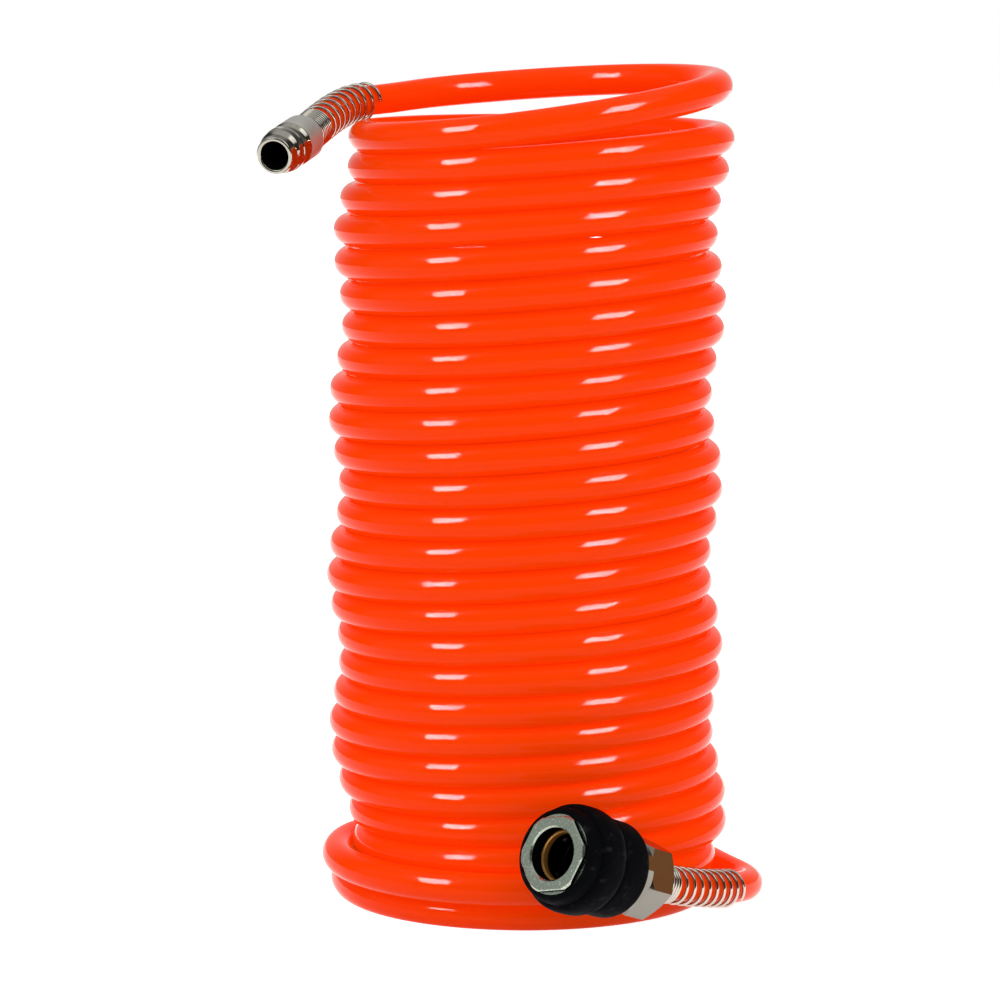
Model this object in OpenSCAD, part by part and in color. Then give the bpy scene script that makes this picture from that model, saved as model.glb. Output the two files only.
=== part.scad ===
// Coiled air hose: a plastic tube wound into a standing coil, with a plug on
// its upper end and a quick coupler on its lower end, each with a spring guard.

/* [Hose] */
// Outside diameter of the tube
tube_d = 8; // [7.8:0.1:8.2]
// Free width inside the coil
coil_bore_d = 88; // [84:1:96]
// Turns that stack above each other
turns = 26; // [20:1:26]
// Free height between two turns
turn_gap = 0.17; // [0.1:0.01:0.4]
// Height a turn falls across its front
turn_drop = 7.6; // [6:0.2:8]

/* [Plug] */
// Diameter of the nose that enters a coupler
nose_d = 10; // [9.6:0.1:10.4]
// Bore of the nose
plug_bore_d = 7.5; // [7:0.1:7.8]
// Diameter of the smooth collar behind the locking groove
collar_d = 12.3; // [12:0.1:13]
// Length of the plug body
plug_len = 22; // [21:0.5:24]

/* [Coupler] */
// Width across flats of both hexagons
hex_af = 19; // [19:0.25:20]
// Bore of the mouth nut
mouth_d = 13.6; // [13.2:0.1:14]
// Bore that takes the plug
socket_d = 12.1; // [12:0.05:12.3]
// Way the sleeve slides back to let the plug go
sleeve_travel = 4; // [3:0.25:4]
// Way the valve opens
valve_travel = 3; // [2:0.25:3]
// Diameter of a locking ball
ball_d = 4; // [3.8:0.1:4]
// Outside diameter of the rubber cover
cover_d = 28.3; // [27.5:0.1:29]

/* [Spring guards] */
// Wire of the two spring guards
guard_wire = 1.0; // [0.8:0.05:1.1]
// Open curls of the plug's guard
open_curls = 9; // [6:1:9]
// Rise of one open curl
open_pitch = 3.5; // [3:0.1:3.6]

/* [Hidden] */
$fn = 48;

// The coil's axis, from the middle of the space the whole object takes
coil_at = [4.02, 19.43, 0];

// Fits
slide_gap = 0.15;  // radial, between pieces that slide
seat_gap = 0.05;   // between pieces that are fixed together
ball_gap = 0.25;   // between a ball and the sleeve over it

// Coil
tube_r = tube_d / 2;
coil_r = coil_bore_d / 2 + tube_r;
pitch = tube_d + turn_gap;
floor_z = tube_r - tube_d / 10;
coil_from = -0.667;   // turns before the front of the first strand
coil_to = turns - 0.283;
coil_rings = 18;      // rings a turn
coil_sides = 6;
end_run = tube_d;     // straight length at each end
top_lift = 6.6;
nest_rise = 6;        // rise where a narrow turn settles into the wide one under it
foot_drop = 2.8;      // what that narrow turn falls across its front
drop_growth = 0.33;   // each turn above it falls more by this, up to turn_drop
settled_left = [[1, 0], [2, 2.35], [3, 2.66], [11, 3.9], [12, 3.5], [15, 2.8],
                [18, 2], [20, 1.2], [22, 0.1], [24, -0.3]];
settled_right = [[1, 0], [2, 0.53], [3, 1.2], [5, 2.1], [7, 2.8], [9, 3.1],
                 [13, 3], [16, 2.6], [18, 2], [20, 1.5], [22, 0.3], [24, -0.3]];
swells = [[turns - 3.75, -1.6], [turns - 2.48, -6.56], [turns - 2.01, 4.01],
          [turns - 0.9, -1.16]];
foot_out = 7.1;       // the last turn lies this far outside the one above
lead_sides = 10;

// Plug stations from the nose, rearwards
stem_r = 2.9;         // barbs in the tube
stem_core_r = 2.6;
stem_bore_r = 1.9;
plug_bore_len = 14;
plug_stem_from = 15.3;
plug_stem_to = 31;
plug_at = [-66.7, -37.4, 202];
plug_dir = [71, 11.5];  // turn and rise of the way from the nose to the tube

// Coupler stations from the mouth, rearwards
nut_len = 3.8;
flange_to = 4.8;
flange_r = hex_af / 2 + 1.4;
skirt_to = 7.4;
body_from = 4.3;
ball_s = 10.5;
bore_from = 13.0;     // the entry in front of it is a little wider
nose_from = 19.3;
seal_from = 20.0;
seal_to = 22.2;
seat_s = 23.4;
plate_from = 31.0;
body_to = 32.0;
gasket_to = 33.2;
barb_flange_to = 34.9;
lead_from = 35.2;
guard_seat = 36.3;
coupler_len = 39.5;
coupler_stem_to = 46;
neck_from = 22.4;
hex_from = 30;
coupler_end = [30.1, -59.8, 15.2];
coupler_dir = [49, -19];

socket_r = socket_d / 2;
entry_r = socket_r + 0.2;
body_r = socket_r + 2.65;
spigot_r = body_r - 0.9;
thread_r = spigot_r + seat_gap;
nose_bore_r = nose_d / 2 + slide_gap;
chamber_r = 6.3;
neck_r = 10.0;
ball_r = ball_d / 2;
ball_at_r = socket_r + ball_r - 0.7;
ball_lift = 0.8;
balls = 4;
land_r = ball_at_r + ball_r + ball_gap;
sleeve_from = 5.1;
sleeve_to = 24.6;
sleeve_r = 11.7;
release_s = ball_s - sleeve_travel;
spring_room_r = neck_r + 0.8;

// Directions and places
function way(d) = [cos(d[1]) * cos(d[0]), cos(d[1]) * sin(d[0]), sin(d[1])];
function unit(v) = v / norm(v);
function clamp(x, lo, hi) = min(hi, max(lo, x));
function smooth(x) = let (c = clamp(x, 0, 1)) c * c * (3 - 2 * c);
function ease(x) = (1 - cos(180 * x)) / 2;

// Axis of the coil at turn t: it sways a little, and the foot has slid forward
function axis_x(t) =
    -1.5 + 2.6 * pow((13.5 - t) / 12, 2) + 1.6 * cos(360 * (t - 0.8) / 5.35)
    - smooth((t - turns + 3) / 1.5);
function axis_y(t) =
    0.8 * cos(360 * (t - 2) / 6.1) - 3.87 * smooth((t - turns + 3.2) / 1.4);

// Height of strand n at the left, and at the right where it starts. The strands
// over the two lowest have settled a little from an even stack.
function stacked_z(n) = floor_z + pitch * (turns - 1 - n) + nest_rise;
function left_z(n) =
    n >= turns ? floor_z
    : n > turns - 2 ? floor_z + pitch
    : stacked_z(n) - lookup(turns - n, settled_left);
function right_z(n) =
    n > turns - 2 ? left_z(n)
    : stacked_z(n) + min(turn_drop, foot_drop + drop_growth * (turns - 2 - n))
        - lookup(turns - n, settled_right);
function lift(t) =
    abs(t + 0.33) < 0.45 ? top_lift * (1 + cos(360 * (t + 0.33) / 0.9)) / 2 : 0;
function strand_z(t) =
    let (s = t + 0.25, n = floor(s) + 1, f = s - floor(s))
    f < 0.5
        ? right_z(n) + (left_z(n) - right_z(n)) * ease(f * 2)
        : left_z(n) + (right_z(n + 1) - left_z(n)) * ease(f * 2 - 1);
function swell(t, i = 0) =
    i == len(swells) ? 0
    : swell(t, i + 1) + (abs(t - swells[i][0]) < 0.6
        ? swells[i][1] * (1 + cos(300 * (t - swells[i][0]))) / 2 : 0);
function strand_r(t) =
    coil_r + (t / turns - 0.5) + foot_out * smooth((t - turns + 0.815) / 0.255) + swell(t);
function strand(t) =
    let (a = -90 - 360 * t)
    [axis_x(t) + strand_r(t) * cos(a), axis_y(t) + strand_r(t) * sin(a),
     strand_z(t) + lift(t)];

// Middle line of the coil, with a straight run at each end
coil_n = round((coil_to - coil_from) * coil_rings);
coil_mid = [for (i = [0 : coil_n]) strand(coil_from + (coil_to - coil_from) * i / coil_n)];
top_way = unit(coil_mid[0] - coil_mid[1]);
foot_way = unit(coil_mid[coil_n] - coil_mid[coil_n - 1]);
top_end = coil_mid[0] + end_run * top_way;
foot_end = coil_mid[coil_n] + end_run * foot_way;
coil_path = concat([top_end], coil_mid, [foot_end]);

// A tube's rings: each corner lies across the path, the first one level with it
function ahead(p, i) = unit(p[min(i + 1, len(p) - 1)] - p[max(i - 1, 0)]);
function ring(c, d, r, sides, low) =
    let (u = unit(cross(d, [0, 0, 1])), v = cross(d, -u))
    [for (k = [0 : sides - 1])
        let (q = c - r * (cos(360 * k / sides) * u - sin(360 * k / sides) * v))
        [q[0], q[1], max(q[2], low)]];
function tube_points(p, r, sides, low) =
    [for (i = [0 : len(p) - 1]) each ring(p[i], ahead(p, i), r, sides, low)];
function tube_faces(n, m) = concat(
    [for (k = [1 : m - 2]) [0, k, k + 1]],
    [for (i = [0 : n - 2], k = [0 : m - 1], half = [0, 1])
        let (a = i * m + k, b = i * m + (k + 1) % m)
        half == 0 ? [a, a + m, b + m] : [a, b + m, b]],
    [for (k = [1 : m - 2]) let (z = (n - 1) * m) [z, z + k + 1, z + k]]);
module tube(p, r, sides, low = -1000) {
    polyhedron(points = tube_points(p, r, sides, low), faces = tube_faces(len(p), sides));
}

// Least distance between the surface points of one turn and of the next
function turn_room(q, sides, rings) =
    min([for (i = [0 : len(q) - sides * rings - 1])
        for (k = [-1, 0, 1])
            let (j = i + sides * (rings + k))
            if (j < len(q)) for (c = [0 : sides - 1])
                norm(q[i] - q[j - (i % sides) + c])]);

// The free tube from the coil to each fitting
function bezier(p, u) =
    pow(1 - u, 3) * p[0] + 3 * u * pow(1 - u, 2) * p[1]
    + 3 * u * u * (1 - u) * p[2] + pow(u, 3) * p[3];
plug_end = plug_at + plug_len * way(plug_dir);
square_run = 3;       // straight stretch where a free tube meets the coil
plug_curve = [plug_end, plug_end + 5.5 * way(plug_dir),
              top_end + 12.5 * top_way, top_end + square_run * top_way];
coupler_curve = [coupler_end, coupler_end + 22 * way(coupler_dir),
                 foot_end + 22 * foot_way, foot_end + square_run * foot_way];
function curve(p, n) = [for (i = [0 : n]) bezier(p, i / n)];
function lead(p, start, n, end) = concat([start], curve(p, n), [end]);
plug_lead_start = plug_end - (plug_len - plug_stem_from - 0.3) * way(plug_dir);
coupler_lead_start = coupler_end - (coupler_len - lead_from) * way(coupler_dir);

// Spring guard: close curls at the fitting, open ones along the tube
guard_mean_r = 4.4 + guard_wire / 2;
close_pitch = guard_wire + 0.55;
close_curls = 6.5;
curl_rings = 8;
guard_sides = 6;
guard_n = round((close_curls + open_curls) * curl_rings);
function guard_s(i) =
    let (c = i / curl_rings)
    close_pitch * min(c, close_curls) + open_pitch * max(0, c - close_curls);
function chord_sum(q, i = 0, s = 0) =
    i == len(q) - 1 ? [s] : concat([s], chord_sum(q, i + 1, s + norm(q[i + 1] - q[i])));
function along(q, cum, s) =
    let (k = [for (i = [0 : len(q) - 2]) if (cum[i] <= s) i],
         i = k[len(k) - 1], f = (s - cum[i]) / (cum[i + 1] - cum[i]))
    [q[i] + f * (q[i + 1] - q[i]), unit(q[i + 1] - q[i])];
module guard(q) {
    cum = chord_sum(q);
    points = [for (i = [0 : guard_n])
        let (at = along(q, cum, guard_s(i)), d = at[1], a = 360 * i / curl_rings,
             u = unit(cross([0, 0, 1], d)), v = cross(d, u),
             out = cos(a) * u + sin(a) * v)
        each [for (k = [0 : guard_sides - 1])
            let (w = 360 * (k + 0.5) / guard_sides)
            at[0] + (guard_mean_r + guard_wire / 2 * cos(w)) * out
                - guard_wire / 2 * sin(w) * d]];
    polyhedron(points = points, faces = tube_faces(guard_n + 1, guard_sides));
}

// Frames of the two fittings: Z runs from the open end to the tube
module on_plug() {
    translate(plug_at) rotate([0, 90 - plug_dir[1], plug_dir[0]]) children();
}
module on_coupler() {
    translate(coupler_end - coupler_len * way(coupler_dir))
        rotate([0, 90 - coupler_dir[1], coupler_dir[0]])
            children();
}
module turned(profile) {
    rotate_extrude() polygon(profile);
}
module band(from, to, inner, outer) {
    turned([[inner, from], [outer, from], [outer, to], [inner, to]]);
}
// Barbs of a tube stem, points from the tip back to the root
function barbs(tip, root) =
    let (n = round((tip - root) / 3.2), step = (tip - root) / n)
    [for (k = [0 : n - 1])
        each [[stem_core_r, tip - k * step], [stem_r, tip - (k + 0.75) * step],
              [stem_core_r, tip - (k + 0.8) * step]]];
// Wire spring about Z, from one height to another
module coil_spring(from, to, mean_r, wire, curls) {
    n = curls * 16;
    rise = (to - from - wire) / n;
    points = [for (i = [0 : n])
        each [for (k = [0 : 5])
            let (r = mean_r + wire / 2 * cos(60 * k))
            [r * cos(22.5 * i), r * sin(22.5 * i),
             from + wire / 2 + rise * i - wire / 2 * sin(60 * k)]]];
    polyhedron(points = points, faces = tube_faces(n + 1, 6));
}

module hose_coil() {
    points = tube_points(coil_path, tube_r, coil_sides, 0);
    echo(least_gap_between_turns = turn_room(points, coil_sides, coil_rings));
    color("#F2541B") translate(coil_at)
        polyhedron(points = points, faces = tube_faces(len(coil_path), coil_sides));
}

module hose_plug_lead() {
    color("#F2541B") translate(coil_at) difference() {
        tube(lead(plug_curve, plug_lead_start, 8, top_end), tube_r, lead_sides, 0);
        on_plug() translate([0, 0, plug_stem_from - 1])
            cylinder(h = plug_stem_to - plug_stem_from + 1.5, r = stem_r + seat_gap);
    }
}

module hose_coupler_lead() {
    color("#F2541B") translate(coil_at) difference() {
        tube(lead(coupler_curve, coupler_lead_start, 10, foot_end), tube_r, lead_sides, 0);
        on_coupler() translate([0, 0, lead_from - 1])
            cylinder(h = coupler_stem_to - lead_from + 1.5, r = stem_r + seat_gap);
    }
}

// Nose, locking groove, collar and barbed stem, turned in one piece
module plug_nipple() {
    r = nose_d / 2;
    c = collar_d / 2;
    color("#B9B6AC") translate(coil_at) on_plug() turned(concat(
        [[plug_bore_d / 2 + 0.3, 0], [r - 0.5, 0], [r, 0.6], [r, 3], [c - 0.25, 4.2],
         [c - 0.25, 6.5], [c - 0.05, 6.7], [c - 0.05, 8.2], [c - 0.25, 8.4],
         [c - 0.8, 8.9], [c - 0.8, 10.4], [c - 0.3, 11], [c, 11.4],
         [c, plug_len - 2], [c - 0.4, plug_len - 1.5], [c - 1.1, plug_len - 1.5],
         [c - 1.1, plug_len], [tube_r + seat_gap, plug_len],
         [tube_r + seat_gap, plug_stem_from], [stem_core_r, plug_stem_from]],
        [for (k = [len(barbs(plug_stem_to, plug_stem_from)) - 1 : -1 : 0])
            barbs(plug_stem_to, plug_stem_from)[k]],
        [[stem_bore_r, plug_stem_to], [stem_bore_r, plug_bore_len + 1],
         [plug_bore_d / 2, plug_bore_len], [plug_bore_d / 2, 0.3]]));
}

module plug_spring_guard() {
    q = concat([plug_end + 0.7 * way(plug_dir)],
               [for (i = [2 : 60]) bezier(plug_curve, i / 60)]);
    color("#C9C6BE") translate(coil_at) guard(q);
}

module coupler_spring_guard() {
    q = concat([coupler_end - 1.2 * way(coupler_dir)],
               [for (i = [0 : 60]) bezier(coupler_curve, i / 60)]);
    color("#C9C6BE") translate(coil_at) guard(q);
}

module mouth_nut() {
    corner_r = hex_af / sqrt(3);
    color("#B3B0A5") translate(coil_at) on_coupler() difference() {
        union() {
            intersection() {
                rotate([0, 0, 30]) cylinder(h = nut_len, r = corner_r, $fn = 6);
                turned([[0, 0], [hex_af / 2, 0], [corner_r + 0.1, 0.9],
                        [corner_r + 0.1, nut_len], [0, nut_len]]);
            }
            turned([[0, 0.5], [hex_af / 2 - 1, 0.5], [hex_af / 2 - 1, nut_len],
                    [flange_r, nut_len], [flange_r, flange_to],
                    [body_r + 0.6, flange_to], [body_r + 0.6, skirt_to],
                    [0, skirt_to]]);
        }
        translate([0, 0, -1]) cylinder(h = body_from + 1.1, r = mouth_d / 2);
        translate([0, 0, body_from]) cylinder(h = 10, r = thread_r + 0.1);
        turned([[0, -0.1], [mouth_d / 2 + 0.7, -0.1], [mouth_d / 2, 0.6], [0, 0.6]]);
    }
}

module socket_body() {
    color("#B08D4A") translate(coil_at) on_coupler() difference() {
        turned([[entry_r + 0.2, body_from], [thread_r + 0.05, body_from],
                [thread_r + 0.05, skirt_to + 0.1], [body_r, skirt_to + 0.1],
                [body_r, neck_from - 0.1], [spigot_r, neck_from - 0.1],
                [spigot_r, body_to], [chamber_r, body_to], [chamber_r, seat_s],
                [nose_bore_r, seat_s], [nose_bore_r, seal_to], [6.6, seal_to],
                [6.6, seal_from], [nose_bore_r, seal_from], [nose_bore_r, nose_from],
                [socket_r, nose_from], [socket_r, bore_from],
                [entry_r, bore_from - 0.2], [entry_r, body_from + 0.2]]);
        for (k = [0 : balls - 1])
            rotate([0, 0, 45 + 360 / balls * k]) translate([socket_r - 1.5, 0, ball_s])
                rotate([0, 90, 0]) cylinder(h = 6, r = ball_r + 0.1);
    }
}

module tail_body() {
    corner_r = hex_af / sqrt(3);
    color("#B3B0A5") translate(coil_at) on_coupler() difference() {
        union() {
            translate([0, 0, neck_from]) cylinder(h = hex_from - neck_from, r = neck_r);
            intersection() {
                translate([0, 0, hex_from])
                    cylinder(h = coupler_len - hex_from, r = corner_r, $fn = 6);
                turned([[0, hex_from], [hex_af / 2 + 0.3, hex_from],
                        [corner_r + 0.1, hex_from + 0.8],
                        [corner_r + 0.1, coupler_len - 1.2],
                        [hex_af / 2 - 0.4, coupler_len], [0, coupler_len]]);
            }
        }
        turned([[0, neck_from - 1], [thread_r, neck_from - 1],
                [thread_r, body_to + 0.2], [5.9, body_to + 0.2],
                [5.9, barb_flange_to + 0.1], [tube_r + 0.15, barb_flange_to + 0.1],
                [tube_r + 0.15, guard_seat], [5.6, guard_seat],
                [5.6, coupler_len + 1], [0, coupler_len + 1]]);
    }
}

module hose_stem() {
    f = gasket_to + seat_gap;
    color("#B08D4A") translate(coil_at) on_coupler() turned(concat(
        [[stem_bore_r, f], [5.8, f], [5.8, barb_flange_to],
         [stem_core_r, barb_flange_to]],
        [for (k = [len(barbs(coupler_stem_to, barb_flange_to)) - 1 : -1 : 0])
            barbs(coupler_stem_to, barb_flange_to)[k]],
        [[stem_bore_r, coupler_stem_to]]));
}

module stem_gasket() {
    color("#2B2B2B") translate(coil_at) on_coupler()
        band(body_to + seat_gap, gasket_to, stem_core_r, 5.8);
}

module nose_seal() {
    color("#1E1E1E") translate(coil_at) on_coupler()
        rotate_extrude()
            translate([5.68, (seal_from + seal_to) / 2])
                circle(r = 0.88, $fn = 24);
}

// Disc with a slotted crown that the plug's nose pushes
module valve_poppet() {
    disc = seat_s + 0.4;
    color("#B08D4A") translate(coil_at) on_coupler() difference() {
        union() {
            band(disc, disc + 1.2, 0, chamber_r - 0.4);
            band(seal_from - 0.2, disc + 0.1, 3.6, 4.4);
        }
        for (k = [0, 1])
            rotate([0, 0, 90 * k]) translate([-6, -1, seal_from - 1])
                cube([12, 2, 3.4]);
    }
}

module valve_seal() {
    color("#1E1E1E") translate(coil_at) on_coupler()
        band(seat_s + 0.05, seat_s + 0.4 - 0.02, 4.6, chamber_r - 0.45);
}

module valve_spring() {
    color("#C9C6BE") translate(coil_at) on_coupler()
        coil_spring(seat_s + 1.65, plate_from - 0.05, 4.7, 0.6, 4);
}

module spring_plate() {
    color("#B08D4A") translate(coil_at) on_coupler() difference() {
        band(plate_from, body_to - 0.05, 0, chamber_r - seat_gap);
        translate([0, 0, plate_from - 1]) cylinder(h = 3, r = 1.6);
        for (k = [0 : 5])
            rotate([0, 0, 60 * k]) translate([3.1, 0, plate_from - 1])
                cylinder(h = 3, r = 0.9);
    }
}

module sleeve_core() {
    color("#B3B0A5") translate(coil_at) on_coupler() turned([
        [land_r + 0.2 * sleeve_travel, sleeve_from], [sleeve_r, sleeve_from],
        [sleeve_r, sleeve_to], [neck_r + slide_gap + 0.05, sleeve_to],
        [neck_r + slide_gap + 0.05, neck_from + 0.2],
        [spring_room_r, neck_from], [spring_room_r, 14],
        [body_r + slide_gap, 14], [body_r + slide_gap, 12.5],
        [land_r, 12.2], [land_r, ball_s], [land_r + 0.2 * sleeve_travel, release_s]]);
}

module sleeve_cover() {
    r = cover_d / 2;
    i = sleeve_r + seat_gap;
    color("#1B1B1D") translate(coil_at) on_coupler() turned([
        [i, sleeve_from], [r - 1.5, sleeve_from], [r - 0.6, 5.6], [r - 0.15, 6.8],
        [r, 8.6], [r, 11], [r - 0.2, 12.6], [r - 0.8, 13.7], [r - 1.7, 14.4],
        [r - 1.9, 15], [r - 1.7, 15.6], [r - 1.4, 16], [r - 1.4, 23.8],
        [r - 1.7, 24.6], [r - 2.1, 25], [i, 25]]);
}

module sleeve_spring() {
    color("#C9C6BE") translate(coil_at) on_coupler()
        coil_spring(14.05, neck_from - 0.05, 9.45, 0.9, 4);
}

module lock_ball(k) {
    color("#C9C6BE") translate(coil_at) on_coupler()
        rotate([0, 0, 45 + 90 * (k - 1)]) translate([ball_at_r, 0, ball_s])
            sphere(r = ball_r);
}
module lock_ball_1() { lock_ball(1); }
module lock_ball_2() { lock_ball(2); }
module lock_ball_3() { lock_ball(3); }
module lock_ball_4() { lock_ball(4); }

hose_coil();
hose_plug_lead();
hose_coupler_lead();
plug_nipple();
plug_spring_guard();
coupler_spring_guard();
mouth_nut();
socket_body();
tail_body();
hose_stem();
stem_gasket();
nose_seal();
valve_poppet();
valve_seal();
valve_spring();
spring_plate();
sleeve_core();
sleeve_cover();
sleeve_spring();
lock_ball_1();
lock_ball_2();
lock_ball_3();
lock_ball_4();
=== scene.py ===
"""A coiled air hose standing on end, a plug at its top and a quick coupler at its foot."""

import bpy
import numpy as np
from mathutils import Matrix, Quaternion, Vector


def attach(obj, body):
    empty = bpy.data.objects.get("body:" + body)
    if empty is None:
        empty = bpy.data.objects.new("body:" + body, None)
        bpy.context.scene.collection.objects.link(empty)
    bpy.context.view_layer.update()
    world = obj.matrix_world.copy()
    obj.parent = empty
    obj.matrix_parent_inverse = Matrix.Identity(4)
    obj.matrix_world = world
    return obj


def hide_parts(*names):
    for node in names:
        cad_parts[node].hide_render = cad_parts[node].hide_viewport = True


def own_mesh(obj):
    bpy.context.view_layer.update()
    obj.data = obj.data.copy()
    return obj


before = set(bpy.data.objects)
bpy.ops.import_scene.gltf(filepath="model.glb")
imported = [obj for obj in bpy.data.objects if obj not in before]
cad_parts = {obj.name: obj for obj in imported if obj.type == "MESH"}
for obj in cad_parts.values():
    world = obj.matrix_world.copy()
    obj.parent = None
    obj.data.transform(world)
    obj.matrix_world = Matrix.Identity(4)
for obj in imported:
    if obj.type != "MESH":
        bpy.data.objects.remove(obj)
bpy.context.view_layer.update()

# Lengths are in millimetres, apart from those of the stage, which are in metres
MM = 0.001
COIL_AT = np.array([4.02, 19.43, 0.0])
COUPLER_LEN, PLUG_LEN = 39.5, 22.0
HEX_AF, NUT_SIDES = 19.0, 120
TUBE_R, TUBE_END_R = 4.24, 4.03
TUBE_SIDES, WIRE_SIDES = 34, 12
GUARD_RINGS, SPRING_RINGS = 36, 32  # a turn
END_RUN = 8.0  # straight tube at each end of the coil
PLUG_SEAT, COUPLER_SEAT = 6.4, 4.3  # how far the tube reaches into each fitting
ROUTE_STEP = 2.9  # from ring to ring along the tube


# ---------------------------------------------------------------- directions
def way(turn, rise):
    """Unit vector that points turn degrees round Z from +X and rise degrees up."""
    a, b = np.radians(turn), np.radians(rise)
    return np.array([np.cos(b) * np.cos(a), np.cos(b) * np.sin(a), np.sin(b)])


def unit(v):
    """A vector, or an array of them, cut to length 1."""
    return v / np.linalg.norm(v, axis=-1, keepdims=True)


def axes_of(turn, rise):
    """A fitting's frame as columns X, Y, Z: Z along way(turn, rise), Y level, X the side
    that looks down."""
    z = way(turn, rise)
    y = unit(np.cross([0.0, 0.0, 1.0], z))
    return np.stack([np.cross(y, z), y, z], axis=1)


PLUG_AXES = axes_of(71, 11.5)
PLUG_AT = np.array([-66.7, -37.4, 202.0]) + COIL_AT
COUPLER_AXES = axes_of(49, -19)
COUPLER_END = np.array([30.1, -59.8, 15.2]) + COIL_AT
COUPLER_AT = COUPLER_END - COUPLER_LEN * COUPLER_AXES[:, 2]
PLUG_END = PLUG_AT + PLUG_LEN * PLUG_AXES[:, 2]


# -------------------------------------------------------------------- camera
def set_camera():
    """A long lens a little over a metre in front, turned slightly down."""
    data = bpy.data.cameras.new("studio_camera")
    data.sensor_width = 36.0
    data.lens = 155.1
    data.clip_start, data.clip_end = 0.05, 20.0
    camera = bpy.data.objects.new("studio_camera", data)
    camera.location = Vector((COIL_AT + [0.0, -1160.0, 259.0]) * MM)
    look = Vector((-0.00702, 1.0, -0.1311))
    camera.rotation_euler = look.to_track_quat("-Z", "Y").to_euler()
    bpy.context.collection.objects.link(camera)
    bpy.context.scene.camera = camera


# --------------------------------------------------------------------- meshes
def add_mesh(name, points, faces, finish, body, slot, replaces=()):
    """A smooth mesh object from points in millimetres in the row frame, riding on a body."""
    mesh = bpy.data.meshes.new(name)
    mesh.from_pydata((np.asarray(points) * MM).tolist(), [], [list(map(int, f)) for f in faces])
    mesh.update()
    mesh.polygons.foreach_set("use_smooth", np.ones(len(mesh.polygons), bool))
    piece = bpy.data.objects.new(name, mesh)
    bpy.context.collection.objects.link(piece)
    mesh.materials.append(finish)
    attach(piece, body)
    if replaces:
        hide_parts(*replaces)
    return piece


def grid_faces(rows, columns, closed_rows=False, caps=True):
    """Quads of a grid of rows rings with columns points each, and a cap on each end ring."""
    i = np.arange(rows if closed_rows else rows - 1)[:, None]
    k = np.arange(columns)[None, :]
    a, b = i * columns + k, i * columns + (k + 1) % columns
    j = (i + 1) % rows * columns
    c, d = j + (k + 1) % columns, j + k
    quads = np.stack([a, b, c, d], axis=-1).reshape(-1, 4).tolist()
    if caps and not closed_rows:
        quads.append(list(range(columns))[::-1])
        quads.append([(rows - 1) * columns + n for n in range(columns)])
    return quads


def swept(path, radius, sides, floor):
    """Rings of a round section across a path: ring i is path i plus radius times
    (sin w * up - cos w * side), w once round. Heights under the floor are brought up to it."""
    ahead = unit(np.gradient(path, axis=0))
    side = unit(np.cross(ahead, [0.0, 0.0, 1.0]))
    up = np.cross(side, ahead)
    w = np.arange(sides) * 2 * np.pi / sides
    r = np.broadcast_to(radius, len(path))[:, None, None]
    rings = path[:, None] + r * (
        -np.cos(w)[None, :, None] * side[:, None] + np.sin(w)[None, :, None] * up[:, None]
    )
    rings[..., 2] = np.maximum(rings[..., 2], floor)
    return rings.reshape(-1, 3)


def hexagon(across, sides, flat):
    """Radius of a hexagon in each of the sides directions, one flat facing the angle flat
    in degrees: half the width across flats over the cosine of the angle from the nearest
    flat's middle."""
    w = np.arange(sides) * 2 * np.pi / sides - np.radians(flat)
    off = (w + np.pi / 6) % (np.pi / 3) - np.pi / 6
    return across / 2 / np.cos(off)


def turned(name, section, at, axes, finish, body, sides=96, sharp=28, bands=(), **links):
    """A closed section of (radius, station) pairs turned round a fitting's axis, given
    anticlockwise with the radius to the right: point k of a ring is axes @ (r cos w, r sin w,
    z) from at. A radius or a station may hold one value for each direction. Each entry of
    bands is a material and the section points where the bands that wear it start."""
    w = np.arange(sides) * 2 * np.pi / sides
    rings = []
    for r, z in section:
        r, z = np.broadcast_to(r, sides), np.broadcast_to(z, sides)
        rings.append(np.stack([r * np.cos(w), r * np.sin(w), z], axis=-1))
    points = at + np.concatenate(rings) @ axes.T
    piece = add_mesh(name, points, grid_faces(len(section), sides, closed_rows=True), finish,
                     body, **links)
    piece.data.set_sharp_from_angle(angle=np.radians(sharp))
    band_index = np.zeros(len(section), np.int32)
    for k, (shade, starts) in enumerate(bands):
        piece.data.materials.append(shade)
        band_index[list(starts)] = k + 1
    piece.data.polygons.foreach_set("material_index", band_index.repeat(sides))
    return piece


def arc_lengths(p):
    """Distance along the chords from the first point of a line to each of its points."""
    return np.concatenate([[0.0], np.cumsum(np.linalg.norm(np.diff(p, axis=0), axis=1))])


def through(p, step):
    """A smooth line through the points p: each coordinate is a natural cubic spline of the
    distance along their chords, read off every step millimetres."""
    s = arc_lengths(p)
    h = np.diff(s)
    n = len(p)
    a = np.zeros((n, n))
    rhs = np.zeros((n, 3))
    i = np.arange(1, n - 1)
    a[0, 0] = a[-1, -1] = 1.0
    a[i, i - 1], a[i, i], a[i, i + 1] = h[:-1], 2 * (h[:-1] + h[1:]), h[1:]
    slope = np.diff(p, axis=0) / h[:, None]
    rhs[1:-1] = 6 * np.diff(slope, axis=0)
    bend = np.linalg.solve(a, rhs)
    t = np.linspace(0.0, s[-1], int(round(s[-1] / step)) + 1)
    k = np.clip(np.searchsorted(s, t, side="right") - 1, 0, n - 2)
    u, v = (s[k + 1] - t)[:, None], (t - s[k])[:, None]
    g = h[k][:, None]
    return (
        bend[k] * u**3 / (6 * g) + bend[k + 1] * v**3 / (6 * g)
        + (p[k] / g - bend[k] * g / 6) * u + (p[k + 1] / g - bend[k + 1] * g / 6) * v
    )


# ---------------------------------------------------------- route of the tube
TURNS, PITCH, FLOOR_Z = 26, 8.17, 3.2
COIL_FROM, COIL_TO, COIL_RINGS = -0.667, 25.717, 18
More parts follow.
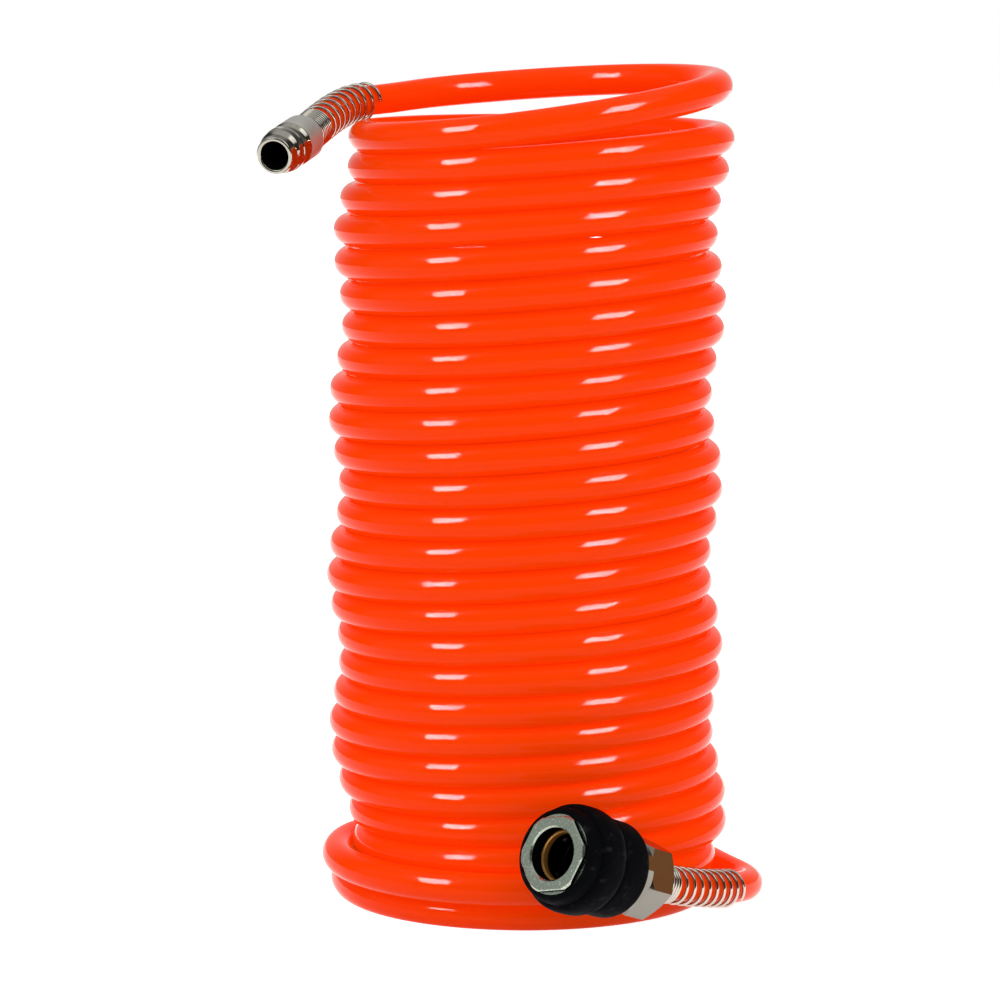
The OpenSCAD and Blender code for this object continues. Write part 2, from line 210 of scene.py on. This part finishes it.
# Radius of the coil's middle line, what the last turn adds to it, and how far the top
# turn is lifted off the next
COIL_R, FOOT_SPREAD, TOP_LIFT = 47.5, 7.1, 6.6
# A narrow turn settles this far above the wide one under it, and falls this much
# across its front; each turn above it falls more by the growth, up to the full drop
NEST_RISE, FOOT_DROP, DROP_GROWTH, TURN_DROP = 6.0, 2.8, 0.33, 7.6
# Where a turn stands out or draws in: turn, millimetres of radius
SWELLS = ((TURNS - 3.75, -1.6), (TURNS - 2.48, -6.56), (TURNS - 2.01, 4.01),
          (TURNS - 0.9, -1.16))
# How far a strand has settled below an even stack: strands above the foot, millimetres
SETTLED_LEFT = np.array([[1, 0], [2, 2.35], [3, 2.66], [11, 3.9], [12, 3.5], [15, 2.8],
                         [18, 2], [20, 1.2], [22, 0.1], [24, -0.3]]).T
SETTLED_RIGHT = np.array([[1, 0], [2, 0.53], [3, 1.2], [5, 2.1], [7, 2.8], [9, 3.1],
                          [13, 3], [16, 2.6], [18, 2], [20, 1.5], [22, 0.3], [24, -0.3]]).T


def smooth_step(x):
    """0 below 0, 1 above 1, and 3x squared less 2x cubed between."""
    x = np.clip(x, 0.0, 1.0)
    return x * x * (3 - 2 * x)


def ease(x):
    """Half a cosine wave from 0 to 1."""
    return (1 - np.cos(np.pi * x)) / 2


def strand(t):
    """The coil's middle line at turn t: round an axis that sways, each turn falling
    across its front from right to left, with a lifted top and a foot that has slid forward."""
    x = -1.5 + 2.6 * ((13.5 - t) / 12) ** 2 + 1.6 * np.cos(2 * np.pi * (t - 0.8) / 5.35)
    x = x - smooth_step((t - TURNS + 3) / 1.5)
    y = 0.8 * np.cos(2 * np.pi * (t - 2) / 6.1) - 3.87 * smooth_step((t - TURNS + 3.2) / 1.4)
    r = COIL_R + t / TURNS + FOOT_SPREAD * smooth_step((t - TURNS + 0.815) / 0.255)
    for turn, bulge in SWELLS:
        wave = bulge * (1 + np.cos(np.radians(300 * (t - turn)))) / 2
        r = r + np.where(np.abs(t - turn) < 0.6, wave, 0.0)
    s = t + 0.25
    n = np.floor(s) + 1
    f = s - np.floor(s)

    def stacked(m):
        return FLOOR_Z + PITCH * (TURNS - 1 - m) + NEST_RISE

    def left(m):
        above = stacked(m) - np.interp(TURNS - m, *SETTLED_LEFT)
        return np.where(m >= TURNS, FLOOR_Z, np.where(m > TURNS - 2, FLOOR_Z + PITCH, above))

    def right(m):
        fall = np.minimum(TURN_DROP, FOOT_DROP + DROP_GROWTH * (TURNS - 2 - m))
        above = stacked(m) + fall - np.interp(TURNS - m, *SETTLED_RIGHT)
        return np.where(m > TURNS - 2, left(m), above)

    falling = right(n) + (left(n) - right(n)) * ease(f * 2)
    level = left(n) + (right(n + 1) - left(n)) * ease(f * 2 - 1)
    near = np.abs(t + 0.33) < 0.45
    lift = np.where(near, TOP_LIFT * (1 + np.cos(2 * np.pi * (t + 0.33) / 0.9)) / 2, 0.0)
    z = np.where(f < 0.5, falling, level) + lift
    a = np.radians(-90 - 360 * t)
    return np.stack([x + r * np.cos(a), y + r * np.sin(a), z], axis=-1)


def bezier(p, u):
    """Cubic curve of the four points p at u."""
    u = np.asarray(u)[:, None]
    return (
        (1 - u) ** 3 * p[0] + 3 * u * (1 - u) ** 2 * p[1]
        + 3 * u * u * (1 - u) * p[2] + u**3 * p[3]
    )


def tube_route():
    """Points of the whole tube's middle line, from the plug's stem to the coupler's: a
    free curve, the coil, and the other free curve."""
    count = round((COIL_TO - COIL_FROM) * COIL_RINGS)
    t = np.linspace(COIL_FROM, COIL_TO, count + 1)
    mid = strand(t) + COIL_AT
    top, foot = unit(mid[0] - mid[1]), unit(mid[-1] - mid[-2])
    top_end, foot_end = mid[0] + END_RUN * top, mid[-1] + END_RUN * foot
    plug = [PLUG_END, PLUG_END + 5.5 * PLUG_AXES[:, 2], top_end + 12.5 * top,
            top_end + 3 * top]
    coupler = [COUPLER_END, COUPLER_END + 22 * COUPLER_AXES[:, 2], foot_end + 22 * foot,
               foot_end + 3 * foot]
    plug_start = PLUG_END - PLUG_SEAT * PLUG_AXES[:, 2]
    coupler_start = COUPLER_END - COUPLER_SEAT * COUPLER_AXES[:, 2]
    return np.concatenate([
        [plug_start], bezier(plug, np.arange(9) / 8), mid,
        bezier(coupler, np.arange(11) / 10)[::-1], [coupler_start],
    ])


def wire(path, out, radius, sides):
    """Rings of a round wire: ring i is path i plus radius times (cos w * out + sin w *
    across), w once round, where across stands square to the path and to out."""
    ahead = unit(np.gradient(path, axis=0))
    across = unit(np.cross(ahead, out))
    out = np.cross(across, ahead)
    w = np.arange(sides) * 2 * np.pi / sides
    rings = path[:, None] + radius * (
        np.cos(w)[None, :, None] * out[:, None] + np.sin(w)[None, :, None] * across[:, None]
    )
    return rings.reshape(-1, 3)


def spring_guard(core, start, close_turns, open_turns, close_pitch, open_pitch, mean_r):
    """A wire wound round the line core: at turn c it stands at the arc length
    start + close_pitch c, and after the close turns each further turn adds open_pitch.
    Gives the wire's middle line and, at each of its points, the way out from the core."""
    s = arc_lengths(core)
    turns = close_turns + open_turns
    c = np.linspace(0, turns, int(turns * GUARD_RINGS) + 1)
    over = np.maximum(0.0, c - close_turns)
    at = start + close_pitch * np.minimum(c, close_turns) + open_pitch * over
    centre = np.stack([np.interp(at, s, core[:, k]) for k in range(3)], axis=-1)
    ahead = unit(np.gradient(centre, axis=0))
    side = unit(np.cross([0.0, 0.0, 1.0], ahead))
    up = np.cross(ahead, side)
    a = (2 * np.pi * c)[:, None]
    out = np.cos(a) * side + np.sin(a) * up
    return centre + mean_r * out, out


def return_spring(name, start, stop, mean_r, thick, curls, finish, replaced):
    """A compression spring between two stations of the coupler: a helix of curls turns at
    mean_r from the axis."""
    c = np.linspace(0, curls, curls * SPRING_RINGS + 1)
    a = 2 * np.pi * c
    z = start + thick / 2 + (stop - start - thick) * c / curls
    out = np.stack([np.cos(a), np.sin(a), 0 * a], axis=-1)
    path = mean_r * out + z[:, None] * np.array([0.0, 0.0, 1.0])
    path, out = COUPLER_AT + path @ COUPLER_AXES.T, out @ COUPLER_AXES.T
    piece = add_mesh(name, wire(path, out, thick / 2, WIRE_SIDES),
                     grid_faces(len(path), WIRE_SIDES), finish, "hose", replaces=(replaced,),
                     slot="spring_wire")
    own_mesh(piece)
    return piece


# ------------------------------------------------------------------ materials
def colour(hex_code):
    """A screen colour as the linear light that Blender works in."""
    v = np.array([int(hex_code[k : k + 2], 16) for k in (1, 3, 5)]) / 255
    return tuple(np.where(v <= 0.04045, v / 12.92, ((v + 0.055) / 1.055) ** 2.4)) + (1.0,)


def node(tree, kind, inputs=(), **settings):
    """A shader node with its settings, and its inputs set to values or linked to sockets."""
    n = tree.nodes.new(kind)
    for key, value in settings.items():
        setattr(n, key, value)
    for key, value in dict(inputs).items():
        if isinstance(value, bpy.types.NodeSocket):
            tree.links.new(value, n.inputs[key])
        else:
            n.inputs[key].default_value = value
    return n


def material(name, base, **sockets):
    """A material with one Principled shader; returns it with its tree and shader."""
    m = bpy.data.materials.new(name)
    m.use_nodes = True
    shader = m.node_tree.nodes["Principled BSDF"]
    shader.inputs["Base Color"].default_value = base
    for key, value in sockets.items():
        shader.inputs[key.replace("_", " ")].default_value = value
    return m, m.node_tree, shader


def grain(tree, scale, detail, stretch=(1, 1, 1)):
    """Noise in the piece's own space, scale lumps a metre."""
    place = node(tree, "ShaderNodeTexCoord")
    mapped = node(tree, "ShaderNodeMapping", {"Vector": place.outputs["Object"],
                                              "Scale": stretch})
    return node(tree, "ShaderNodeTexNoise", {"Vector": mapped.outputs[0], "Scale": scale,
                                             "Detail": detail})


def ramp(tree, factor, low, high, start=0.3, stop=0.7):
    """A value between low and high as factor goes from start to stop."""
    n = node(tree, "ShaderNodeMapRange", {"Value": factor, "From Min": start, "From Max": stop,
                                          "To Min": low, "To Max": high})
    return n.outputs[0]


def extruded_plastic():
    """Bright orange extruded tube: a smooth skin that keeps its colour and shows a lamp as a
    short clean dash; a faint painted glow over the whole skin lifts the shade in the folds
    between turns."""
    m, tree, shader = material("extruded_orange_plastic", colour("#FD3402"))
    shader.inputs["Specular IOR Level"].default_value = 0.05
    # Painted glow: the skin gives off a little orange light of its own, which lifts the shade
    # between the turns
    shader.inputs["Emission Color"].default_value = colour("#F26A04")
    shader.inputs["Emission Strength"].default_value = 0.13
    tree.links.new(ramp(tree, grain(tree, 120, 2).outputs[0], 0.05, 0.08),
                   shader.inputs["Roughness"])
    return m


def mixed(tree, factor, low, high):
    """A colour between low and high by factor."""
    n = node(tree, "ShaderNodeMix", {0: factor}, data_type="RGBA")
    for socket in n.inputs:
        if socket.type == "RGBA" and socket.name in "AB":
            socket.default_value = colour(low if socket.name == "A" else high)
    return n.outputs[2]


def nickel_plate(name, base):
    """Turned steel with bright nickel: warm grey that mirrors the room in clean bands,
    with a faint haze where fingers and tools have been."""
    m, tree, shader = material(name, colour(base), Metallic=1.0)
    tree.links.new(ramp(tree, grain(tree, 140, 3).outputs[0], 0.06, 0.13),
                   shader.inputs["Roughness"])
    return m


def blasted_nickel():
    """Nickel over a blasted band: an even light grey that mirrors nothing sharply."""
    m, tree, shader = material("blasted_nickel", colour("#C4C3BB"), Metallic=0.75)
    tree.links.new(ramp(tree, grain(tree, 900, 3).outputs[0], 0.42, 0.55),
                   shader.inputs["Roughness"])
    return m


def zinc_plate():
    """Faced steel under zinc: a greenish grey with pale and dark specks from handling."""
    m, tree, shader = material("zinc_plated_steel", colour("#9AA596"), Metallic=1.0)
    specks = ramp(tree, grain(tree, 2200, 4).outputs[0], 0.0, 1.0, 0.56, 0.76)
    tree.links.new(mixed(tree, specks, "#9AA596", "#E8EDE4"), shader.inputs["Base Color"])
    tree.links.new(ramp(tree, grain(tree, 1200, 3).outputs[0], 0.2, 0.36),
                   shader.inputs["Roughness"])
    return m


def painted_bore_shade():
    """Black with no gloss: painted shade for the tube's cut ends, the plug's groove and bores,
    and the nut's sides, flange, skirt and bore.
    """
    return material("painted_bore_shade", colour("#080808"), Roughness=0.9, Specular_IOR_Level=0.0)[0]


def oiled_steel():
    """Hardened balls under a film of black grease."""
    return material("greased_steel", colour("#232323"), Metallic=1.0, Roughness=0.35)[0]


def turned_brass():
    """Bare turned brass, a little dull at the coupler's mouth; from two millimetres behind its
    front face on it is painted black as the shade inside the mouth."""
    m, tree, shader = material("turned_brass", colour("#CB9146"), Metallic=0.6)
    axis = COUPLER_AXES[:, 2]
    front = float(COUPLER_AT @ axis) * MM
    place = node(tree, "ShaderNodeTexCoord")
    along = node(tree, "ShaderNodeVectorMath", {0: place.outputs["Object"],
                                                1: Vector(axis)}, operation="DOT_PRODUCT")
    # Painted shade: deeper than this along the coupler's axis the brass turns black
    painted_shade_depth = ramp(tree, along.outputs["Value"], 0.0, 1.0, front + 0.0058, front + 0.0066)
    tree.links.new(mixed(tree, painted_shade_depth, "#CB9146", "#0A0908"), shader.inputs["Base Color"])
    tree.links.new(ramp(tree, grain(tree, 300, 3).outputs[0], 0.3, 0.42),
                   shader.inputs["Roughness"])
    return m


def spring_steel():
    """Bright drawn wire: a thin light line along it and dark flanks."""
    m, tree, shader = material("bright_spring_wire", colour("#BDB7AB"), Metallic=1.0)
    tree.links.new(ramp(tree, grain(tree, 200, 2).outputs[0], 0.04, 0.08),
                   shader.inputs["Roughness"])
    return m


def moulded_rubber():
    """Black moulded rubber: matt, with scuffs that show as faint grey patches."""
    m, tree, shader = material("moulded_black_rubber", colour("#08090C"))
    scuff = ramp(tree, grain(tree, 260, 6, (1, 1, 2)).outputs[0], 0.0, 1.0, 0.58, 0.8)
    tree.links.new(mixed(tree, scuff, "#08090C", "#232428"), shader.inputs["Base Color"])
    tree.links.new(ramp(tree, grain(tree, 420, 4).outputs[0], 0.5, 0.7),
                   shader.inputs["Roughness"])
    shader.inputs["Specular IOR Level"].default_value = 0.015
    bump = node(tree, "ShaderNodeBump", {"Height": grain(tree, 1600, 3).outputs[0],
                                         "Strength": 0.2, "Distance": 0.0001})
    tree.links.new(bump.outputs[0], shader.inputs["Normal"])
    return m


def seal_rubber():
    """Black seal rubber, smooth."""
    return material("seal_rubber", colour("#1A1A1B"), Roughness=0.42)[0]


# ---------------------------------------------------------------------- stage
FRONT = -90  # the camera's side, in degrees round Z from +X
WALL_R = 3.0


def softbox(name, turn, rise, roll, distance, width, height, power, target, tint):
    """A studio softbox that faces the target from the given side, rolled round its axis."""
    data = bpy.data.lights.new(name, "AREA")
    data.shape, data.size, data.size_y = "RECTANGLE", width, height
    data.energy, data.color = power, tint
    lamp = bpy.data.objects.new(name, data)
    at = np.array(target) + distance * way(turn, rise)
    lamp.location = Vector(at)
    facing = Vector(way(turn, rise))
    rolled = Quaternion(facing, np.radians(roll)) @ facing.to_track_quat("Z", "Y")
    lamp.rotation_euler = rolled.to_euler()
    bpy.context.collection.objects.link(lamp)
    return lamp


def white_when_seen(tree, plain, seen):
    """A strength of seen for camera, glossy and transmission rays and plain for others."""
    path = node(tree, "ShaderNodeLightPath")
    one = node(tree, "ShaderNodeMath", {0: path.outputs["Is Camera Ray"],
                                        1: path.outputs["Is Glossy Ray"]}, operation="MAXIMUM")
    two = node(tree, "ShaderNodeMath", {0: one.outputs[0],
                                        1: path.outputs["Is Transmission Ray"]},
               operation="MAXIMUM")
    return node(tree, "ShaderNodeMapRange", {"Value": two.outputs[0], "To Min": plain,
                                             "To Max": seen}).outputs[0]


def soft_ramp(tree, value, start, stop, low, high):
    """low where value is start or less, high where it is stop or more, and a smooth step
    between."""
    return node(tree, "ShaderNodeMapRange", {"Value": value, "From Min": start,
                                             "From Max": stop, "To Min": low,
                                             "To Max": high},
                interpolation_type="SMOOTHSTEP").outputs[0]


def card(tree, place, towards, edge, core, strength):
    """Light of a round soft card on the wall: none where the cosine of the angle from its
    middle is edge, and strength where it is core."""
    near = node(tree, "ShaderNodeVectorMath", {0: place, 1: Vector(towards / WALL_R)},
                operation="DOT_PRODUCT")
    return soft_ramp(tree, near.outputs["Value"], edge, core, 0.0, strength)


def wall_light():
    """The wall's glow: dim in front, white behind and overhead, with a grey card at the
    left, a brown one at the right and a lamp on either side above the camera."""
    m = bpy.data.materials.new("dark_studio_wall")
    m.use_nodes = True
    tree = m.node_tree
    tree.nodes.clear()
    place = node(tree, "ShaderNodeTexCoord").outputs["Object"]
    parts = node(tree, "ShaderNodeSeparateXYZ", {0: place})
    white = soft_ramp(tree, parts.outputs[1], 1.6, 2.9, 0.05, 0.62)
    lights = [card(tree, place, unit(np.array([-0.93, -0.08, 0.34])), 0.86, 0.97, 0.52),
              soft_ramp(tree, parts.outputs[2], 2.0, 2.7, 0.0, 0.7)]
    for turn in (FRONT - 67, FRONT + 64):
        lights.append(card(tree, place, way(turn, 49), 0.93, 0.985, 1.7))
    for light in lights:
        white = node(tree, "ShaderNodeMath", {0: white, 1: light}, operation="ADD").outputs[0]
    brown = card(tree, place, unit(np.array([0.92, 0.35, 0.17])), 0.93, 0.97, 1.0)
    glow = node(tree, "ShaderNodeEmission", {"Strength": white, "Color": (1, 1, 1, 1)})
    warm = node(tree, "ShaderNodeEmission", {"Strength": brown,
                                             "Color": (0.55, 0.2, 0.05, 1)})
    both = node(tree, "ShaderNodeAddShader", {0: glow.outputs[0], 1: warm.outputs[0]})
    node(tree, "ShaderNodeOutputMaterial", {"Surface": both.outputs[0]})
    return m


def set_stage(tube):
    """White floor and room, a wall round it that only gloss and metal mirror, and two
    softboxes in front above that draw the dashes on the turns."""
    n = 128
    a = np.arange(n) * 2 * np.pi / n
    ring = np.stack([4 * np.cos(a), 4 * np.sin(a), 0 * a], axis=-1)
    mesh = bpy.data.meshes.new("studio_floor")
    mesh.from_pydata((ring - [0, 0, 0.00001]).tolist(), [], [list(range(n))])
    floor = bpy.data.objects.new("studio_floor", mesh)
    bpy.context.collection.objects.link(floor)
    m, tree, shader = material("pale_floor", (0.84, 0.84, 0.84, 1), Roughness=0.9)
    shader.inputs["Specular IOR Level"].default_value = 0.0
    shader.inputs["Emission Color"].default_value = (1, 1, 1, 1)
    tree.links.new(white_when_seen(tree, 0.0, 0.9), shader.inputs["Emission Strength"])
    mesh.materials.append(m)

    # The wall is the upper half of a ball
    rows, columns = 24, 48
    up = np.radians(np.linspace(-2, 90, rows + 1))[:-1, None]
    turn = (np.arange(columns) * 2 * np.pi / columns)[None, :]
    dome = WALL_R * np.stack([np.cos(up) * np.cos(turn), np.cos(up) * np.sin(turn),
                              np.sin(up) + 0 * turn], axis=-1).reshape(-1, 3)
    mesh = bpy.data.meshes.new("dark_wall")
    mesh.from_pydata(dome.tolist(), [], grid_faces(rows, columns, caps=False))
    wall = bpy.data.objects.new("dark_wall", mesh)
    bpy.context.collection.objects.link(wall)
    mesh.materials.append(wall_light())
    wall.visible_camera = wall.visible_diffuse = wall.visible_transmission = False
    wall.visible_shadow = wall.visible_volume_scatter = False

    world = bpy.data.worlds.new("white_room")
    bpy.context.scene.world = world
    world.use_nodes = True
    back = world.node_tree.nodes["Background"]
    back.inputs["Color"].default_value = (1, 1, 1, 1)
    world.node_tree.links.new(white_when_seen(world.node_tree, 0.97, 1.0),
                              back.inputs["Strength"])
    middle = (COIL_AT + [0, 0, 110]) * MM
    plastic = bpy.data.collections.new("lit_by_softboxes")
    plastic.objects.link(tube)
    for name, turn, roll, width in (("left_box", FRONT - 58, 23, 0.38),
                                    ("right_box", FRONT + 48.5, -23, 0.46)):
        lamp = softbox(name, turn, 35, roll, 1.3, width, 0.68, 239.0 * width, middle,
                       (1.0, 0.97, 0.96))
        lamp.visible_diffuse = False
        lamp.light_linking.receiver_collection = plastic


# ------------------------------------------------------------------- assembly
set_camera()
TUBE = extruded_plastic()
NICKEL = nickel_plate("nickel_plated_steel", "#A5A297")
DULL_NICKEL = nickel_plate("dulled_nickel_plate", "#807D74")
BRASS = turned_brass()
WIRE = spring_steel()
RUBBER = moulded_rubber()
SEAL = seal_rubber()
BLASTED, ZINC, BORE_SHADE, BALL = blasted_nickel(), zinc_plate(), painted_bore_shade(), oiled_steel()

# The tube is a little thinner under the guards than in the coil
line = through(tube_route(), ROUTE_STEP)
run = np.minimum(np.arange(len(line)), np.arange(len(line))[::-1]) * ROUTE_STEP
girth = TUBE_END_R + (TUBE_R - TUBE_END_R) * smooth_step((run - 30) / 60)
tube = add_mesh("air_tube", swept(line, girth, TUBE_SIDES, 0.0),
                grid_faces(len(line), TUBE_SIDES), TUBE, "hose",
                replaces=("hose_coil", "hose_plug_lead", "hose_coupler_lead"), slot="tube")
# The cut ends are painted black as the shade inside the tube's bore
tube.data.materials.append(BORE_SHADE)
for cut in tube.data.polygons[-2:]:
    cut.material_index = 1

# Both guards: closed turns behind the fitting, then open ones along the free tube
OPEN_TURNS, CLOSE_PITCH, GUARD_R, GUARD_WIRE_R = 9, 1.06, 4.76, 0.47
for name, core, start, closed, pitch, replaced in (
        ("plug_guard_wire", line[:90], 7.1, 6.5, 3.45, "plug_spring_guard"),
        ("coupler_guard_wire", line[::-1][:90], 3.2, 9.6, 3.4, "coupler_spring_guard")):
    path, out = spring_guard(core, start, closed, OPEN_TURNS, CLOSE_PITCH, pitch, GUARD_R)
    add_mesh(name, wire(path, out, GUARD_WIRE_R, WIRE_SIDES),
                           grid_faces(len(path), WIRE_SIDES), WIRE, "hose",
                           replaces=(replaced,), slot="spring_wire")

# Nose with a rounded lip, locking groove, collar, blasted band and barbed stem
# Painted shade: the groove behind the band and the bores of the stem and nose are black
plug = turned("plug_turned_nipple", [
    *((4.375 - 0.625 * np.cos(a), 0.625 - 0.625 * np.sin(a)) for a in np.pi * np.arange(9) / 8),
    (5, 2.7), (5.08, 3.1), (5.32, 3.5), (5.72, 4), (5.87, 4.3), (5.9, 4.7), (5.9, 6.45),
    (6.1, 6.7), (6.1, 8.2), (5.9, 8.45), (5.5, 8.8), (5.38, 9.2), (5.38, 10.2), (5.6, 10.7),
    (6, 11.2), (6.15, 11.6), (6.15, 19.75), (6.02, 20.2), (5.75, 20.4), (5.05, 20.5),
    (5.05, 22), (4.05, 22), (4.05, 15.3), (2.6, 15.3), (2.9, 16), (2.9, 31), (1.9, 31),
    (1.9, 15), (3.75, 14)], PLUG_AT, PLUG_AXES, NICKEL, "hose",
    bands=((BLASTED, [24]), (BORE_SHADE, [27, 28, *range(35, 38)])),
    replaces=("plug_nipple",), slot="nickel")

# Front nut: a faced hexagon with trimmed corners, its flange and its thread skirt
h = np.minimum(hexagon(HEX_AF, NUT_SIDES, -12), 10.35)
trimmed = np.minimum(h, 10.1)
# Painted shade: the hexagon's side flats, the flange, the thread skirt and the bore are black
nut = turned("mouth_faced_nut", [
    (6.8, 0.42), (7.2, 0), (trimmed - 0.24, 0), (trimmed, 0.24), (h, 0.24 + (h - trimmed)),
    (h, 1.3), (np.maximum(h, 10.95), 1.32), (np.maximum(h, 10.95), 4.8), (9.3, 4.8),
    (9.3, 7.4), (7.95, 7.4), (7.95, 4.3), (6.8, 4.3)], COUPLER_AT, COUPLER_AXES, ZINC, "hose",
    NUT_SIDES, bands=((BORE_SHADE, [4, *range(6, 13)]),), replaces=("mouth_nut",), slot="nickel")

# Bumper ring on the nut, in front of the sleeve
bumper = turned("mouth_bumper_ring", [
    (10.4, 1.28), (10.52, 1.1), (11.4, 1.2), (11.85, 1.7), (12.2, 2.6),
    (12.45, 3.7), (12.6, 5.02), (11.0, 5.02), (11.0, 1.4)], COUPLER_AT, COUPLER_AXES, RUBBER,
    "hose", NUT_SIDES, 50, slot="cover_rubber")

# Sleeve cover with its rounded bulge, groove and rear lip
turned("sleeve_moulded_cover", [
    (11.75, 5.1), (12.6, 5.1), (13.15, 5.3), (13.55, 5.7), (13.85, 6.3), (14.02, 7),
    (14.12, 7.8), (14.15, 8.8), (14.15, 11), (14.08, 11.9), (13.9, 12.7), (13.6, 13.4),
    (13.2, 13.9), (12.6, 14.25), (12.35, 14.6), (12.25, 15), (12.35, 15.4), (12.6, 15.75),
    (12.75, 16.2), (12.75, 23.6), (12.68, 24.1), (12.5, 24.55), (12.25, 24.85), (11.95, 25),
    (11.75, 25)], COUPLER_AT, COUPLER_AXES, RUBBER, "sleeve", NUT_SIDES, 50,
    replaces=("sleeve_cover",), slot="cover_rubber")

# Tail: round neck and hexagon, both its ends trimmed by a cone so that arcs cut the flats
h = hexagon(HEX_AF, NUT_SIDES, 15)
tail = turned("tail_hexagon_body", [
    (10, 22.4), (10, 29.9), (np.minimum(h, 9.8), 30), (h, 30 + np.maximum(h - 9.8, 0) / 1.3),
    (h, 38.3 + (11.07 - h) / 1.64), (9.1, 39.5), (5.6, 39.5), (5.6, 36.3), (4.15, 36.3),
    (4.15, 35), (5.9, 35), (5.9, 32.2), (7.85, 32.2), (7.85, 22.4)],
    COUPLER_AT, COUPLER_AXES, DULL_NICKEL, "hose", NUT_SIDES, 20, replaces=("tail_body",),
    slot="nickel")

return_spring("sleeve_return_spring", 14.05, 22.35, 9.45, 0.9, 4, WIRE,
              "sleeve_spring")
return_spring("valve_return_spring", 25.05, 30.95, 4.7, 0.6, 4, WIRE,
              "valve_spring")

FINISH = {
    "sleeve_core": NICKEL, "socket_body": BRASS, "hose_stem": BRASS, "valve_poppet": BRASS,
    "spring_plate": BRASS,
    "nose_seal": SEAL, "stem_gasket": SEAL, "valve_seal": SEAL,
    "lock_ball_1": BALL, "lock_ball_2": BALL, "lock_ball_3": BALL, "lock_ball_4": BALL,
}
for name, finish in FINISH.items():
    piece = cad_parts[name]
    for place in piece.material_slots:
        place.material = finish

set_stage(tube)
bpy.context.scene.view_settings.view_transform = "Standard"
